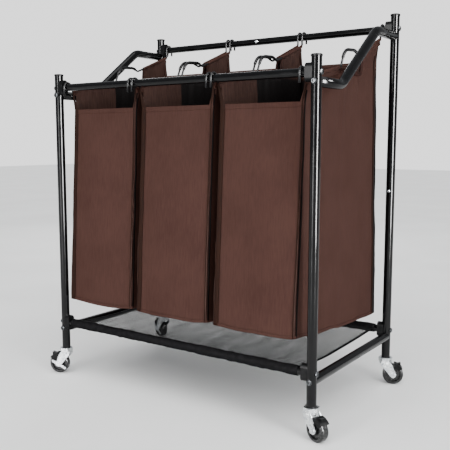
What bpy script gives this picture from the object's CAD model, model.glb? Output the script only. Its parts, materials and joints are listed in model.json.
"""Looks of a laundry sorter on wheels: paint, plating, cloth bags, hanger wires and a net shelf."""

import json
import math

import bpy
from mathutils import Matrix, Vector, noise


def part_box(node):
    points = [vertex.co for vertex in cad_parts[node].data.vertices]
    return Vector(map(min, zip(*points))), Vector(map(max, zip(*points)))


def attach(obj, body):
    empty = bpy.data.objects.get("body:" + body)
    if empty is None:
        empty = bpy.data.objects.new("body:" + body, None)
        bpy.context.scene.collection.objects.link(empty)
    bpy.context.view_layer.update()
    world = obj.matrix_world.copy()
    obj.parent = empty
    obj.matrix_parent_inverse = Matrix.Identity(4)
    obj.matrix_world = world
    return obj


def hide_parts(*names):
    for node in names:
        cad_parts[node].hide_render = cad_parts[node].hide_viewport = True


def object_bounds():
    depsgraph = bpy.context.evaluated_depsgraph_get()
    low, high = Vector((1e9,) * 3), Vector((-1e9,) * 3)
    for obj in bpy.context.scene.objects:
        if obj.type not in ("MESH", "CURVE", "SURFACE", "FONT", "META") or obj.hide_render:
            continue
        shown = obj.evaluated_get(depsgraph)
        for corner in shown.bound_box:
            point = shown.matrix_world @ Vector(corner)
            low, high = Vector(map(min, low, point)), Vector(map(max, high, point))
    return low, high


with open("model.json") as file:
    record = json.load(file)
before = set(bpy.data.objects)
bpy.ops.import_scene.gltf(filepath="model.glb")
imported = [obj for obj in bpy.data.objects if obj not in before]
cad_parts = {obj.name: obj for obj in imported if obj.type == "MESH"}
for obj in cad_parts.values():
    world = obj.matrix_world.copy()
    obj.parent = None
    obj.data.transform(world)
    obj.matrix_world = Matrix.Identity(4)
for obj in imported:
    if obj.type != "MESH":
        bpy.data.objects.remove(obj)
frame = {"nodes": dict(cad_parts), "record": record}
cad_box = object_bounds()
MM = 0.001
BAGS = ("left", "middle", "right")


def centre(node):
    """Middle of a node's box."""
    low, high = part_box(node)
    return (low + high) / 2


FRONT_RAIL = centre("front_top_rail_left")
BACK_RAIL = centre("back_top_rail_left")
FY, FZ = FRONT_RAIL.y, FRONT_RAIL.z
BY, BZ = BACK_RAIL.y, BACK_RAIL.z
HOOK = 10.55 * MM  # hook's radius at the middle of its wire
WIRE = 2.25 * MM  # wire's radius
SLEEVE = 3.3 * MM  # radius of the vinyl sleeve on a grip
GRIP_Z = FZ + 18 * MM  # about the lower edge of the hand holes
HOLE_FRONT, HOLE_BACK = -31 * MM, 77 * MM  # their two ends


# ---------------------------------------------------------------- materials

def shade(code):
    """Linear colour of an sRGB hex code."""
    parts = [int(code[i : i + 2], 16) / 255 for i in (0, 2, 4)]
    return tuple(c / 12.92 if c <= 0.04045 else ((c + 0.055) / 1.055) ** 2.4 for c in parts) + (1.0,)


class Finish:
    """One procedural material. Lengths are in mm."""

    def __init__(self, name, **sockets):
        self.material = bpy.data.materials.new(name)
        self.material.use_nodes = True
        self.tree = self.material.node_tree
        self.tree.nodes.clear()
        self.out = self.add("ShaderNodeOutputMaterial")
        place = self.add("ShaderNodeTexCoord").outputs["Object"]
        self.place = self.add("ShaderNodeVectorMath", {0: place, 3: 1000.0}, operation="SCALE").outputs[0]
        named = {key.replace("_", " "): value for key, value in sockets.items()}
        self.surface = self.add("ShaderNodeBsdfPrincipled", named)
        self.tree.links.new(self.surface.outputs[0], self.out.inputs[0])

    def add(self, kind, sockets=None, **settings):
        """A node, its settings set and its sockets linked or given values."""
        made = self.tree.nodes.new(kind)
        for key, value in settings.items():
            setattr(made, key, value)
        for key, value in (sockets or {}).items():
            if isinstance(value, bpy.types.NodeSocket):
                self.tree.links.new(value, made.inputs[key])
            else:
                made.inputs[key].default_value = value
        return made

    def feed(self, socket, value):
        """Links a value to one of the surface's sockets."""
        self.tree.links.new(value, self.surface.inputs[socket])
        return self

    def cloudy(self, size, detail=3.0, stretch=None):
        """Soft noise with features about size mm across."""
        place = self.place
        if stretch:
            scaled = self.add("ShaderNodeVectorMath", {0: place, 1: stretch}, operation="MULTIPLY")
            place = scaled.outputs[0]
        sockets = {"Vector": place, "Scale": 1 / size, "Detail": detail}
        return self.add("ShaderNodeTexNoise", sockets).outputs[0]

    def between(self, value, low, high, start=0.35, end=0.65):
        """The value's range from start to end, stretched to low to high."""
        return self.add("ShaderNodeMapRange", {0: value, 1: start, 2: end, 3: low, 4: high}).outputs[0]

    def sums(self, kind, a, b):
        """A sum of the given kind on two values."""
        return self.add("ShaderNodeMath", {0: a, 1: b}, operation=kind).outputs[0]

    def tint(self, value, dark, light):
        """A colour from dark at 0 to light at 1."""
        mix = self.add("ShaderNodeMix", {0: value}, data_type="RGBA")
        mix.inputs[6].default_value, mix.inputs[7].default_value = shade(dark), shade(light)
        return mix.outputs[2]

    def relief(self, height, depth, under=None):
        """Bumps as deep as depth mm."""
        sockets = {"Height": height, "Distance": depth * MM, "Strength": 1.0}
        if under:
            sockets["Normal"] = under
        return self.add("ShaderNodeBump", sockets).outputs[0]

    def threads(self, pitch):
        """Height from 0 to 1 of woven threads, which run up and across any upright panel."""
        axes = self.add("ShaderNodeSeparateXYZ", {0: self.place}).outputs
        across = self.sums("MULTIPLY", self.sums("ADD", axes[0], axes[1]), 2 * math.pi / pitch)
        up = self.sums("MULTIPLY", axes[2], 2 * math.pi / pitch)
        waves = self.sums("MULTIPLY", self.sums("SINE", across, 0.0), self.sums("SINE", up, 0.0))
        return self.between(waves, 0.0, 1.0, -1.0, 1.0)


def coated_steel():
    """Gloss black powder coat: a deep black with a fine orange peel."""
    f = Finish("coated_steel", Specular_IOR_Level=0.2)
    f.feed("Base Color", f.tint(f.between(f.cloudy(30), 0, 1), "040405", "09090a"))
    f.feed("Roughness", f.between(f.cloudy(25, 3), 0.1, 0.16))
    f.feed("Normal", f.relief(f.cloudy(1.6, 2), 0.008))
    return f.material


def moulded_black():
    """Moulded black plastic with a fine grain and faint handling marks."""
    f = Finish("moulded_black", Specular_IOR_Level=0.08)
    f.feed("Base Color", f.tint(f.between(f.cloudy(14), 0, 1), "070708", "101011"))
    f.feed("Roughness", f.between(f.cloudy(6, 5), 0.3, 0.46))
    f.feed("Normal", f.relief(f.cloudy(0.7, 3), 0.03))
    return f.material


def wheel_rubber():
    """Hard glossy black tread, a little scuffed."""
    f = Finish("wheel_rubber", Specular_IOR_Level=0.35, Coat_Weight=0.15, Coat_Roughness=0.1)
    f.feed("Base Color", f.tint(f.between(f.cloudy(5, 6), 0, 1, 0.45, 0.75), "050506", "121213"))
    f.feed("Roughness", f.between(f.cloudy(4, 6), 0.18, 0.42))
    f.feed("Normal", f.relief(f.cloudy(2.5, 4), 0.05))
    return f.material


def zinc_plate():
    """Bright zinc plating over stamped steel: cool grey, slightly spangled."""
    f = Finish("zinc_plate", Metallic=1.0)
    f.feed("Base Color", f.tint(f.between(f.cloudy(7, 4), 0, 1), "b9bec2", "e4e6e6"))
    f.feed("Roughness", f.between(f.cloudy(3, 5), 0.2, 0.36))
    f.feed("Normal", f.relief(f.cloudy(1.4, 3), 0.025))
    return f.material


def bolt_steel():
    """Dark zinc on the frame's bolts."""
    f = Finish("bolt_steel", Metallic=1.0)
    f.feed("Base Color", f.tint(f.between(f.cloudy(4, 4), 0, 1), "2c2d2e", "505254"))
    f.feed("Roughness", f.between(f.cloudy(2, 5), 0.24, 0.4))
    f.feed("Normal", f.relief(f.cloudy(1, 3), 0.02))
    return f.material


def plain_steel():
    """Drawn steel with fine lines along the tube."""
    f = Finish("plain_steel", Metallic=1.0)
    f.feed("Base Color", f.tint(f.between(f.cloudy(12), 0, 1), "7c7e80", "a3a5a6"))
    f.feed("Roughness", f.between(f.cloudy(2, 4, (1, 1, 0.05)), 0.3, 0.5))
    return f.material


def bag_cloth(name, dark, light, rough=0.86):
    """Tightly woven polyester: matt, with fine threads, slubs and a soft bloom at grazing angles."""
    f = Finish(name, Specular_IOR_Level=0.03, Sheen_Weight=0.08, Sheen_Roughness=0.5)
    f.surface.inputs["Sheen Tint"].default_value = shade(light)
    slubs = f.cloudy(3, 4, (1, 1, 0.12))
    blotch = f.cloudy(70, 4)
    tone = f.sums("ADD", f.sums("MULTIPLY", slubs, 0.6), f.sums("MULTIPLY", blotch, 0.4))
    f.feed("Base Color", f.tint(f.between(tone, 0, 1, 0.36, 0.62), dark, light))
    f.feed("Roughness", f.between(slubs, rough - 0.08, rough + 0.06))
    weave = f.relief(f.threads(1.1), 0.09)
    f.feed("Normal", f.relief(f.cloudy(22, 3), 0.5, weave))
    return f.material


def bag_lining():
    """Inside of the bags: brown cloth, with a black backing on its rear part below the hand holes."""
    f = Finish("bag_lining", Specular_IOR_Level=0.04)
    _, depth, height = f.add("ShaderNodeSeparateXYZ", {0: f.place}).outputs
    behind = f.between(depth, 0, 1, -30, -28.5)
    below = f.between(height, 1, 0, 686, 694)
    front = f.tint(f.between(f.cloudy(3, 4, (1, 1, 0.12)), 0, 1), "38241f", "452f28")
    mix = f.add("ShaderNodeMix", {0: f.sums("MULTIPLY", behind, below), 6: front}, data_type="RGBA")
    mix.inputs[7].default_value = shade("0c0707")
    f.feed("Base Color", mix.outputs[2])
    f.feed("Roughness", f.between(f.cloudy(6, 4), 0.62, 0.82))
    f.feed("Normal", f.relief(f.cloudy(14, 3), 0.8, f.relief(f.threads(1.1), 0.06)))
    return f.material


def wire_vinyl():
    """Vinyl dip on the hanger wires: smooth and glossy."""
    f = Finish("wire_vinyl", Specular_IOR_Level=0.2)
    f.feed("Base Color", f.tint(f.between(f.cloudy(20), 0, 1), "070708", "111113"))
    f.feed("Roughness", f.between(f.cloudy(8, 4), 0.24, 0.38))
    return f.material


def shelf_net():
    """Black polyester net with round holes between its threads, which bunch up in the gathers."""
    f = Finish("shelf_net", Specular_IOR_Level=0.05)
    axes = f.add("ShaderNodeSeparateXYZ", {0: f.place}).outputs
    turn = 2 * math.pi / 1.8
    rows = [f.sums("SINE", f.sums("MULTIPLY", axes[i], turn), 0.0) for i in (0, 1)]
    hole = f.sums("MULTIPLY", *rows)
    gathers = f.between(f.cloudy(20, 2, (1, 0.22, 1)), -0.07, 0.07)
    thread = f.between(f.sums("ADD", f.sums("ABSOLUTE", hole, 0.0), gathers), 1.0, 0.0, 0.6, 0.74)
    f.feed("Base Color", f.tint(f.between(f.cloudy(40), 0, 1), "121214", "1e1d1f"))
    f.feed("Roughness", f.between(f.cloudy(5), 0.8, 0.95))
    clear = f.add("ShaderNodeBsdfTransparent").outputs[0]
    mix = f.add("ShaderNodeMixShader", {0: thread, 1: clear, 2: f.surface.outputs[0]})
    f.tree.links.new(mix.outputs[0], f.out.inputs[0])
    return f.material


def net_tape():
    """Doubled black net and tape, gathered round the rails."""
    f = Finish("net_tape", Specular_IOR_Level=0.03)
    f.feed("Base Color", f.tint(f.between(f.cloudy(9, 4), 0, 1), "080809", "131214"))
    f.feed("Roughness", f.between(f.cloudy(4), 0.6, 0.85))
    f.feed("Normal", f.relief(f.cloudy(3, 3, (1, 0.3, 0.3)), 0.5))
    return f.material


FINISHES = {
    "powder_coat_black": coated_steel(),
    "plastic_black": moulded_black(),
    "zinc_plate": zinc_plate(),
    "inner_steel": plain_steel(),
    "wheel_black": wheel_rubber(),
    "bag_fabric": bag_cloth("bag_cloth", "3b2520", "442d27"),
    "wire_black": wire_vinyl(),
    "mesh_black": shelf_net(),
}
LINING = bag_lining()
SEAM_BAND = bag_cloth("seam_band", "20110c", "291710")
EDGE_BAND = bag_cloth("edge_band", "0b0606", "140c0b")
GRIP_TAPE = bag_cloth("grip_tape", "27140f", "331c17", 0.7)
NET_TAPE = net_tape()
BOLT_STEEL = bolt_steel()


# ---------------------------------------------------------------- shapes

def piece(name, points, faces, material, body, slot, smooth=True):
    """A mesh piece that rides on a body."""
    mesh = bpy.data.meshes.new(name)
    mesh.from_pydata([tuple(p) for p in points], [], faces)
    mesh.materials.append(material)
    mesh.polygons.foreach_set("use_smooth", [smooth] * len(mesh.polygons))
    mesh.update()
    made = bpy.data.objects.new(name, mesh)
    bpy.context.scene.collection.objects.link(made)
    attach(made, body)
    return made


def bent(corners, steps=7):
    """Points along [a, b, radius] corners, each corner turned as an arc of its radius."""
    found = [Vector(corners[0][:2])]
    for before, here, after in zip(corners, corners[1:], corners[2:]):
        p, r = Vector(here[:2]), here[2]
        a, b = (Vector(before[:2]) - p).normalized(), (Vector(after[:2]) - p).normalized()
        half = a.angle(b) / 2
        middle = p + (a + b).normalized() * (r / math.sin(half))
        start, end = p + a * (r / math.tan(half)), p + b * (r / math.tan(half))
        first = math.atan2(start.y - middle.y, start.x - middle.x)
        turn = math.atan2(end.y - middle.y, end.x - middle.x) - first
        turn = (turn + math.pi) % (2 * math.pi) - math.pi
        for i in range(steps + 1):
            way = first + turn * i / steps
            found.append(middle + r * Vector((math.cos(way), math.sin(way))))
    found.append(Vector(corners[-1][:2]))
    return found


def close_points(line, step):
    """The same line with points at most step apart."""
    found = [line[0]]
    for a, b in zip(line, line[1:]):
        parts = max(1, math.ceil((b - a).length / step))
        found += [a.lerp(b, i / parts) for i in range(1, parts + 1)]
    return found


def swept(line, section, across=None):
    """Mesh of a section carried along a line.

    section(i) gives [side, up] offsets at point i, and across is what side points along.
    """
    points, faces, side = [], [], Vector(across or (1, 0, 0))
    count = len(section(0))
    for i, p in enumerate(line):
        ahead = (line[min(i + 1, len(line) - 1)] - line[max(i - 1, 0)]).normalized()
        lean = side if across is None else Vector(across)
        side = (lean - ahead * ahead.dot(lean)).normalized()
        up = ahead.cross(side)
        points += [p + side * a + up * b for a, b in section(i)]
    for i in range(len(line) - 1):
        for k in range(count):
            a, b = i * count + k, i * count + (k + 1) % count
            faces.append((a, b, b + count, a + count))
    faces.append(tuple(range(count))[::-1])
    faces.append(tuple(range(len(points) - count, len(points))))
    return points, faces


def oval(wide, high, sides=12):
    """Section with a half width and a half height."""
    turns = [2 * math.pi * k / sides for k in range(sides)]
    return [(wide * math.cos(a), high * math.sin(a)) for a in turns]


def joined(parts):
    """Several meshes as one list of points and faces."""
    points, faces = [], []
    for more, sides in parts:
        start = len(points)
        points += more
        faces += [tuple(v + start for v in f) for f in sides]
    return points, faces


def side_handle(name):
    """S-shaped tube that joins a front post to a back post and serves as a push handle."""
    low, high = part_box(name)
    x, r = (low.x + high.x) / 2, (high.x - low.x) / 2
    bottom, top = low.z + r, high.z - r
    post_y = abs(centre("front_left_upper_post").y)
    reach = post_y - 0.8 * r
    bend_y, bend_r = 81 * MM, 34 * MM
    corners = [(-reach, bottom, 0), (-bend_y, bottom, bend_r), (bend_y, top, bend_r), (reach, top, 0)]
    path = bent(corners, 16)
    line = [Vector((x, p[0], p[1])) for p in path]
    tube = swept(line, lambda i: oval(r, r, 36))
    made = piece(name + "_tube", *tube, FINISHES["powder_coat_black"], "frame", "powder_coat_black")
    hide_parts(name)
    return made


# ---------------------------------------------------------------- hangers and bags

FRONT_RUN = (Vector((FY + HOOK, FZ - 8 * MM)), Vector((FY + 156 * MM, FZ + 23 * MM)))
BACK_RUN = (Vector((BY - 131 * MM, BZ - 67 * MM)), Vector((BY - HOOK, BZ - 21 * MM)))


def wire_z(y):
    """Height of the wire's straight runs at a depth y."""
    a, b = FRONT_RUN if y < (FRONT_RUN[1].x + BACK_RUN[0].x) / 2 else BACK_RUN
    return a.y + (y - a.x) * (b.y - a.y) / (b.x - a.x)


def hanger_line():
    """Depth and height along one hanger wire, from the front hook's tip over the grip to the back's."""
    h = HOOK
    return bent([
        (FY - h, FZ - 18 * MM, 0), (FY - h, FZ + h, h - 1e-5), (FY + h, FZ + h, h - 1e-5),
        (FRONT_RUN[0].x, FRONT_RUN[0].y, 6 * MM), (FRONT_RUN[1].x, FRONT_RUN[1].y, 9 * MM),
        (FY + 172 * MM, FZ + 59 * MM, 30 * MM), (BACK_RUN[0].x - 10 * MM, FZ + 62 * MM, 30 * MM),
        (BACK_RUN[0].x + 4 * MM, wire_z(BACK_RUN[0].x + 4 * MM), 12 * MM),
        (BACK_RUN[1].x, BACK_RUN[1].y, 8 * MM), (BY - h, BZ + h, h - 1e-5), (BY + h, BZ + h, h - 1e-5),
        (BY + h, BZ - 14 * MM, 0)], 10)


def hanger_wires(bag):
    """The two bent wires that a bag hangs on, with a vinyl sleeve over each grip."""
    low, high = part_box(bag + "_bag_hangers")
    grip = close_points([p for p in hanger_line() if -17 * MM < p[0] < 47 * MM], 6 * MM)
    parts = []
    for x in (low.x + WIRE, high.x - WIRE):
        wire = [Vector((x, p[0], p[1])) for p in hanger_line()]
        sleeve = [Vector((x, p[0], p[1])) for p in grip]
        parts.append(swept(wire, lambda i: oval(WIRE, WIRE, 14)))
        parts.append(swept(sleeve, lambda i: oval(SLEEVE, SLEEVE, 16)))
    made = piece(bag + "_hanger_wires", *joined(parts), FINISHES["wire_black"], bag + "_bag", "wire_black")
    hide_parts(bag + "_bag_hangers")
    return made


class Bag:
    """A hanging cloth bag.

    spot(panel, u, t) is a point of its cloth, with u from -1 to 1 across a panel and t from 0 at
    the floor to 1 at the top edge.
    """

    FRONT, RIGHT, BACK, LEFT = range(4)
    FLOOR_FALL = 28 * MM  # the floor is lower at the back
    TOP_IN = (19 * MM, 26 * MM)  # front and back panels' top edges, in from the rails
    TOP_DROP = (49 * MM, 69 * MM)  # and below them
    EDGE_PROUD = 0.9 * MM  # the side panels' bindings stand off the cloth by this

    def __init__(self, name, seed):
        low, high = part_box(name + "_bag")
        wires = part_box(name + "_bag_hangers")
        self.name, self.seed = name, seed
        self.left, self.right = wires[0].x + WIRE, wires[1].x - WIRE
        self.foot = (low.y, high.y)
        self.foot_z = (low.z + self.FLOOR_FALL, low.z)
        self.top = (FY + self.TOP_IN[0], BY - self.TOP_IN[1])
        self.top_z = (FZ - self.TOP_DROP[0], BZ - self.TOP_DROP[1])
        self.brim = self.side_brim()

    def side_brim(self):
        """(share of the depth, depth, height) along a side panel's top edge, from front to back."""
        edge = [(self.top[0], self.top_z[0]), (FY + 16 * MM, wire_z(FY + 16 * MM))]
        edge += [(FY + d * MM, wire_z(FY + d * MM)) for d in range(26, 150, 12)]
        edge += [(-29 * MM, GRIP_Z + 3 * MM), (-22 * MM, GRIP_Z - 1.5 * MM), (-8 * MM, GRIP_Z - 2 * MM)]
        edge += [(d * MM, GRIP_Z - (2 if d < 60 else 1) * MM) for d in range(4, 72, 12)]
        edge += [(74 * MM, GRIP_Z + 4 * MM), (HOLE_BACK, wire_z(HOLE_BACK))]
        edge += [(BY - d * MM, wire_z(BY - d * MM)) for d in range(92, 20, -12)]
        edge += [(BY - 15 * MM, wire_z(BY - 15 * MM)), (self.top[1], self.top_z[1])]
        deep = self.top[1] - self.top[0]
        shares = [0.0] + [(y - self.top[0]) / deep for y, _ in edge[1:-1]] + [1.0]
        return [(share, y, z) for share, (y, z) in zip(shares, edge)]

    def floor_z(self, y):
        """Height of the floor at a depth y, before it sags."""
        share = (y - self.foot[0]) / (self.foot[1] - self.foot[0])
        return self.foot_z[0] + share * (self.foot_z[1] - self.foot_z[0])

    def rough(self, p, size, salt=0.0):
        """Smooth repeatable noise from -1 to 1 with features of size metres."""
        x, y, z = p.x / size + self.seed * 7.3 + salt, p.y / size, p.z / size + salt * 1.7
        return noise.noise(Vector((x, y, z)))

    def flat_spot(self, panel, u, t):
        """The point before the cloth sags, and the way out of the bag."""
        if panel in (self.FRONT, self.BACK):
            i = 0 if panel == self.FRONT else 1
            side = u if i == 0 else -u
            x = (self.left + self.right) / 2 + side * (self.right - self.left) / 2
            y = self.foot[i] + t * (self.top[i] - self.foot[i])
            z = self.foot_z[i] + t * (self.top_z[i] - self.foot_z[i])
            return Vector((x, y, z)), Vector((0, -1 if i == 0 else 1, 0))
        way = 1 if panel == self.RIGHT else -1
        share = (1 + u * way) / 2
        y1, z1 = self.brim_at(share)
        y0 = self.foot[0] + share * (self.foot[1] - self.foot[0])
        x = self.right if way > 0 else self.left
        z0 = self.floor_z(y0)
        return Vector((x, y0 + t * (y1 - y0), z0 + t * (z1 - z0))), Vector((way, 0, 0))

    def brim_at(self, share):
        """Depth and height of a side panel's top edge at a share of the bag's depth."""
        for (a, y0, z0), (b, y1, z1) in zip(self.brim, self.brim[1:]):
            if share <= b + 1e-9:
                k = (share - a) / max(b - a, 1e-9)
                k = min(1.0, max(0.0, k))
                return y0 + k * (y1 - y0), z0 + k * (z1 - z0)
        return self.brim[-1][1:]

    def side_waves(self, p, t, inner):
        """Fold and puckers of a side panel, in mm: a soft upright crease and gathers under the wire."""
        crease = math.exp(-((p.y + 0.004 + 0.01 * self.rough(p, 0.2, 9)) / 0.007) ** 2)
        gathers = math.sin(p.y / 0.0042 + 2 * self.rough(p, 0.05, 5))
        return (0.6 + 1.4 * t) * crease, 0.9 * gathers * math.exp(-(1 - t) / 0.05) * inner

    def front_waves(self, p, t):
        """Crease and ripples of the front or back panel, in mm: one across it, and some at its foot."""
        crease = math.exp(-((p.z - 0.43 - 0.004 * self.rough(p, 0.1, 4)) / 0.004) ** 2)
        ripples = self.rough(Vector((p.x * 2.2, 0, p.z * 0.35)), 0.05, 6)
        return 0.8 * crease, 1.4 * ripples * math.exp(-t / 0.12)

    def foot_sag(self, p, u, t):
        """How far the cloth hangs lower near its foot, in mm, as a negative number."""
        droop = -5.5 * math.exp(-t / 0.05) * (0.45 + 0.55 * (1 - u * u))
        return droop - 2.5 * math.exp(-t / 0.03) * self.rough(p, 0.06, 8)

    def slimmer(self, p):
        """Share by which a point draws in to the bag's middle. The wires hold the width at the top."""
        middle = (self.left + self.right) / 2
        draw_in = 6.5 if p.x > middle else 3.0
        return draw_in * MM * min(1.0, max(0.0, (wire_z(p.y) - p.z) / 0.045)) / (middle - self.left)

    def spot(self, panel, u, t, out=0.0):
        """A point of the hanging cloth, moved out of the bag by out metres."""
        p, way = self.flat_spot(panel, u, t)
        inner = 1 - abs(u) ** 6
        upright = panel in (self.RIGHT, self.LEFT)
        hang = math.sin(math.pi * min(1.0, max(0.0, t)) ** 0.8)
        belly = (2.2 if upright else 4.5) * (1 - u * u) * hang
        waves = (1.5 if upright else 2.6) * self.rough(p, 0.11) * inner * (0.25 + 0.75 * hang)
        waves += 0.8 * self.rough(p, 0.045, 3.1) * inner * (1 - 0.6 * t)
        for wave in self.side_waves(p, t, inner) if upright else self.front_waves(p, t):
            waves += wave
        seam = 1 - inner
        wobble = Vector((1.5 * self.rough(p, 0.07, 1.3), 1.8 * self.rough(p, 0.09, 2.4), 0)) * hang
        sag = Vector((0, 0, self.foot_sag(p, u, t)))
        shift = way * (belly + waves) + wobble * (0.35 + 0.65 * seam) + sag
        foot = math.exp(-t / 0.05) * (1.2 if upright else 3.0)
        p = p + shift * MM + way * (foot * (1 - u * u) * MM + out)
        p.x -= (p.x - (self.left + self.right) / 2) * self.slimmer(p)
        return p

    def floor_spot(self, rim, k):
        """A point of the floor, k from 0 at the rim to 1 in the middle."""
        middle = Vector(((self.left + self.right) / 2, sum(self.foot) / 2, 0))
        p = rim.lerp(Vector((middle.x, middle.y, rim.z)), k)
        p.z = rim.z + (self.floor_z(p.y) - self.floor_z(rim.y))
        p.z -= (7 * math.sin(k * math.pi / 2) + 1.6 * self.rough(p, 0.05, 12) * k) * MM
        return p

    def columns(self):
        """(panel, u) of every upright thread line round the bag, front first."""
        across, step = 22, 0.022
        found = [(self.FRONT, -1 + 2 * i / across) for i in range(across)]
        shares = [b[0] for b in self.brim]
        fine = []
        for a, b in zip(shares, shares[1:]):
            parts = max(1, round((b - a) / step))
            fine += [a + (b - a) * i / parts for i in range(parts)]
        found += [(self.RIGHT, 2 * s - 1) for s in fine]
        found += [(self.BACK, -1 + 2 * i / across) for i in range(across)]
        found += [(self.LEFT, 1 - 2 * s) for s in [1.0] + fine[:0:-1]]
        return found

    def cloth(self):
        """The sewn shell: floor, four sides and their brim in one skin."""
        rows, rings = 72, 9
        columns = self.columns()
        n = len(columns)
        rim = [self.spot(panel, u, 0) for panel, u in columns]
        points = [self.floor_spot(p, 1 - r / rings) for r in range(rings) for p in rim]
        for j in range(rows + 1):
            points += [self.spot(panel, u, j / rows) for panel, u in columns]
        faces = [(j * n + i, j * n + (i + 1) % n, (j + 1) * n + (i + 1) % n, (j + 1) * n + i)
                 for j in range(rings + rows) for i in range(n)]
        body = self.name + "_bag"
        made = piece(body + "_cloth", points, faces, FINISHES["bag_fabric"], body, "bag_fabric")
        made.data.materials.append(LINING)
        skin = made.modifiers.new("cloth", "SOLIDIFY")
        skin.thickness, skin.offset, skin.material_offset = 1.0 * MM, -1, 1
        return made

    def strap(self, name, line, across, half, thick, material):
        """A flat band of cloth along a line; half gives its half width at each point."""
        points, faces = swept(line, lambda i: oval(half[i] * MM, thick * MM, 10), across)
        return piece(f"{self.name}_bag_{name}", points, faces, material, self.name + "_bag", "bag_fabric")

    def front_band(self, label, side, half):
        """The bound seam of a front corner, which runs on up to the rail and tapers to its tip."""
        x = self.left if side < 0 else self.right
        line = [self.spot(self.FRONT, side * (1 - half / 96), i / 60, 1.6 * MM) for i in range(61)]
        tip = Vector((x, FY + 14 * MM, wire_z(FY + 16 * MM) - 1 * MM))
        base = line[-1].copy()
        line += [base.lerp(tip, k / 8) for k in range(1, 9)]
        widths = [half] * 61 + [half + (1.4 - half) * k / 8 for k in range(1, 9)]
        return self.strap(f"{label}_front_band", line, (1, 0, 0), widths, 1.1, SEAM_BAND)

    def edge_band(self, name, panel, u, half, finish):
        """A flat binding up one side panel's edge."""
        line = [self.spot(panel, u, i / 60, self.EDGE_PROUD) for i in range(58)]
        return self.strap(name, line, (0, 1, 0), [half] * 58, 0.9, finish)

    def foot_edge(self, name, panel, parts, across):
        """A rolled edge along the foot of a panel."""
        raised = Vector((0, 0, 2.2 * MM))
        line = [self.spot(panel, i / parts, 0.0, 0.8 * MM) + raised for i in range(-parts, parts + 1)]
        return self.strap(name, line, across, [0.9] * len(line), 3.0, FINISHES["bag_fabric"])

    def seam_bands(self):
        """Bound seams up the four corners, and rolled edges round the foot."""
        made = [self.front_band("left", -1, 5.5), self.front_band("right", 1, 1.8)]
        for label, panel, way in (("left", self.LEFT, -1), ("right", self.RIGHT, 1)):
            made.append(self.edge_band(label + "_front_edge", panel, -way * 0.966, 2.4, EDGE_BAND))
            made.append(self.edge_band(label + "_back_edge", panel, way * 0.978, 3.6, SEAM_BAND))
            made.append(self.foot_edge(label + "_foot_edge", panel, 20, (way, 0, 0)))
        made.append(self.foot_edge("front_foot_edge", self.FRONT, 16, (0, -1, 0)))
        return made

    def hems(self):
        """Turned hems: across the front and back, and sleeves round the wires."""
        made = []
        for label, panel, depth in (("front", self.FRONT, 0.989), ("back", self.BACK, 0.991)):
            line = [self.spot(panel, u / 16, depth, 0.2 * MM) for u in range(-16, 17)]
            hem = self.strap(label + "_hem", line, (0, 1, 0), [1.25] * 33, 5.4, FINISHES["bag_fabric"])
            made.append(hem)
        for label, x in (("left", self.left), ("right", self.right)):
            parts = []
            for start, end in ((FY + 15 * MM, HOLE_FRONT), (HOLE_BACK, BY - 14 * MM)):
                ys = [start + (end - start) * i / 24 for i in range(25)]
                line = [Vector((x, y, wire_z(y))) for y in ys]
                fat = [3.3 + 0.35 * self.rough(p, 0.02, 5) for p in line]
                parts.append(swept(line, lambda i, fat=fat: oval(fat[i] * MM, (fat[i] + 0.2) * MM, 14)))
                low = [p - Vector((0, 0, 6.5 * MM)) for p in line]
                parts.append(swept(low, lambda i: oval(1.2 * MM, 5.5 * MM, 12), (1, 0, 0)))
            made.append(piece(f"{self.name}_bag_{label}_sleeves", *joined(parts), FINISHES["bag_fabric"],
                              self.name + "_bag", "bag_fabric"))
        return made

    def grip_tapes(self):
        """Tape bound over the edge of the hand holes."""
        made = []
        start = HOLE_FRONT + 0.5 * MM
        path = [
            (start, wire_z(start) - 3 * MM, 0),
            (HOLE_FRONT + 3 * MM, GRIP_Z - 1 * MM, 4 * MM),
            (HOLE_BACK - 4 * MM, GRIP_Z - 1 * MM, 6 * MM),
            (HOLE_BACK, wire_z(HOLE_BACK) - 3 * MM, 0),
        ]
        for label, x in (("left", self.left), ("right", self.right)):
            line = close_points([Vector((x, p[0], p[1])) for p in bent(path, 6)], 5 * MM)
            tape = self.strap(label + "_grip_tape", line, (1, 0, 0), [1.7] * len(line), 4.2, GRIP_TAPE)
            made.append(tape)
        return made


def cloth_bag(name, seed):
    """One bag with its seams, hems and tapes."""
    bag = Bag(name, seed)
    cloth = bag.cloth()
    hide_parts(name + "_bag")
    trims = bag.seam_bands() + bag.hems() + bag.grip_tapes()
    return cloth


# ---------------------------------------------------------------- shelf

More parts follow.
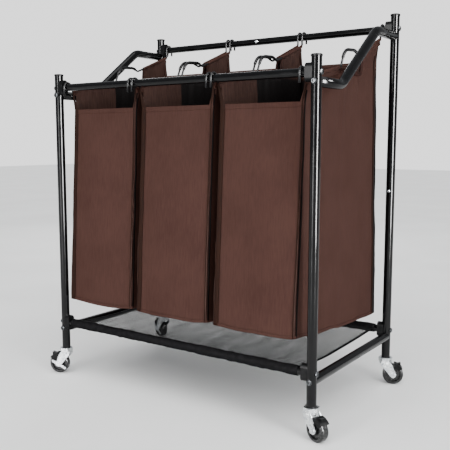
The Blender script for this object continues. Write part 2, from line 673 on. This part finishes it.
def mesh_shelf():
    """The net shelf, gathered onto the two bottom rails and a little slack between them."""
    low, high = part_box("shelf_mesh")
    front, back = centre("front_bottom_rail_left"), centre("back_bottom_rail_left")
    middle, half = (low.x + high.x) / 2, (high.x - low.x) / 2
    hem_lift = 1.6 * MM
    nx, ny = 150, 60

    def sag(x, y):
        """Height of the net at a place."""
        u, v = 2 * (x - low.x) / (high.x - low.x) - 1, 2 * (y - front.y) / (back.y - front.y) - 1
        slack = 7 * (1 - v * v) * (0.75 + 0.25 * (1 - u * u))
        edge = min(abs(y - front.y), abs(y - back.y))
        gather = 4.5 * math.exp(-edge / 0.05) * noise.noise(Vector((x / 0.02, v * 1.5, 1.5)))
        soft = 4.5 * noise.noise(Vector((x / 0.06, y / 0.11, 4.2))) * (1 - v ** 4)
        return front.z - (slack - gather - soft) * MM

    def reach(v):
        """Half length of the net, whose free ends draw in between the rails."""
        return half - 2 * MM * (1 - v * v)

    points = []
    for j in range(ny + 1):
        v = 2 * j / ny - 1
        y = front.y + (back.y - front.y) * j / ny
        lift = hem_lift if abs(v) > 0.97 else 0.0
        for i in range(nx + 1):
            x = middle + (2 * i / nx - 1) * reach(v)
            points.append(Vector((x, y, sag(x, y) + lift)))
    n = nx + 1
    corners = [j * n + i for j in range(ny) for i in range(nx)]
    faces = [(a, a + 1, a + n + 1, a + n) for a in corners]
    net = piece("shelf_net", points, faces, FINISHES["mesh_black"], "frame", "mesh_black")
    for label, rail in (("front", front), ("back", back)):
        xs = [low.x + (high.x - low.x) * i / 200 for i in range(201)]
        line = [Vector((x, rail.y, rail.z)) for x in xs]
        fat = [(9.6 + 1.5 * noise.noise(Vector((x / 0.012, rail.y, 3.3)))) * MM for x in xs]
        hem = swept(line, lambda i, fat=fat: oval(fat[i], fat[i], 24), (0, 1, 0))
        piece(f"shelf_{label}_hem", *hem, NET_TAPE, "frame", "mesh_black")
    for label, way in (("left", -1), ("right", 1)):
        line = []
        for j in range(4, ny - 3):
            v = 2 * j / ny - 1
            y = front.y + (back.y - front.y) * j / ny
            x = middle + way * (reach(v) - 2 * MM)
            line.append(Vector((x, y, sag(x, y))))
        tape = swept(line, lambda i: oval(4 * MM, 0.9 * MM, 10), (1, 0, 0))
        piece(f"shelf_{label}_tape", *tape, NET_TAPE, "frame", "mesh_black")
    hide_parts("shelf_mesh")
    return net


# ---------------------------------------------------------------- frame and stage

def dress_frame():
    """Gives every CAD node its finish."""
    for part in frame["record"]["subparts"]:
        node = frame["nodes"][part["node"]]
        node.data.materials.clear()
        finish = FINISHES[part["material_slot"]]
        node.data.materials.append(BOLT_STEEL if part["node"] == "frame_bolts" else finish)


def softbox(name, place, aim, size, power, gloss_only=False):
    """An area light that faces aim. One for gloss only draws highlights and lights nothing matt."""
    light = bpy.data.lights.new(name, "AREA")
    light.shape, light.energy = "RECTANGLE", power
    light.size, light.size_y = size
    made = bpy.data.objects.new(name, light)
    made.location = place
    made.visible_camera, made.visible_diffuse = False, not gloss_only
    made.rotation_euler = (Vector(aim) - Vector(place)).to_track_quat("-Z", "Y").to_euler()
    bpy.context.scene.collection.objects.link(made)


def studio():
    """Pale floor, soft light and white surroundings. Only the camera sees them at full brightness."""
    mesh = bpy.data.meshes.new("floor")
    far = 12
    corners = [(-far, -far, 0), (far, -far, 0), (far, far, 0), (-far, far, 0)]
    mesh.from_pydata(corners, [], [(0, 1, 2, 3)])
    floor = bpy.data.objects.new("floor", mesh)
    bpy.context.scene.collection.objects.link(floor)
    f = Finish("pale_floor", Specular_IOR_Level=0.1)
    f.feed("Base Color", f.tint(f.between(f.cloudy(400), 0, 1), "f6f6f5", "fbfbfa"))
    f.feed("Roughness", f.between(f.cloudy(50), 0.8, 0.9))
    mesh.materials.append(f.material)
    world = bpy.data.worlds.new("studio")
    bpy.context.scene.world = world
    world.use_nodes = True
    nodes, links = world.node_tree.nodes, world.node_tree.links
    dim = nodes["Background"]
    dim.inputs[0].default_value = (0.93, 0.96, 1, 1)
    dim.inputs[1].default_value = 0.45
    bright = nodes.new("ShaderNodeBackground")
    bright.inputs[0].default_value = (1, 1, 1, 1)
    bright.inputs[1].default_value = 1.75
    mix, seen = nodes.new("ShaderNodeMixShader"), nodes.new("ShaderNodeLightPath")
    links.new(seen.outputs["Is Camera Ray"], mix.inputs[0])
    links.new(dim.outputs[0], mix.inputs[1])
    links.new(bright.outputs[0], mix.inputs[2])
    links.new(mix.outputs[0], nodes["World Output"].inputs[0])
    softbox("key", (2.2, -0.85, 0.8), (0.2, 0, 0.5), (0.55, 1.5), 30)
    softbox("fill", (-0.15, -2.3, 0.8), (0.2, 0, 0.5), (0.5, 1.5), 24)
    softbox("key_gloss", (2.2, -0.8, 0.8), (0.2, 0, 0.5), (0.5, 1.5), 330, True)
    softbox("fill_gloss", (-0.15, -2.3, 0.8), (0.2, 0, 0.5), (0.45, 1.5), 280, True)
    softbox("handle_gloss", (2.4, 0.35, 1.9), (0.36, 0, 0.75), (0.7, 0.7), 120, True)
    softbox("back", (-1.8, 2.2, 1.2), (0, 0, 0.4), (0.9, 1.4), 14)
    sky = bpy.data.lights.new("sky", "SUN")
    sky.energy, sky.angle = 3.1, math.radians(70)
    overhead = bpy.data.objects.new("sky", sky)
    overhead.rotation_euler = (math.radians(24), math.radians(14), 0)
    bpy.context.scene.collection.objects.link(overhead)


def camera():
    """The view from the front right, a little above."""
    data = bpy.data.cameras.new("camera")
    data.lens, data.sensor_width = 55.1, 36
    data.clip_start, data.clip_end = 0.05, 60
    made = bpy.data.objects.new("camera", data)
    middle = (cad_box[0] + cad_box[1]) / 2
    made.location = (middle.x + 0.893, middle.y - 1.278, 0.548)
    yaw, down = math.radians(34.71), math.radians(6.9)
    made.rotation_euler = (math.pi / 2 - down, 0, yaw)
    bpy.context.scene.collection.objects.link(made)
    bpy.context.scene.camera = made


dress_frame()
for side in ("left", "right"):
    side_handle(side + "_side_handle")
for number, name in enumerate(BAGS):
    hanger_wires(name)
    cloth_bag(name, number + 1)
mesh_shelf()
studio()
camera()
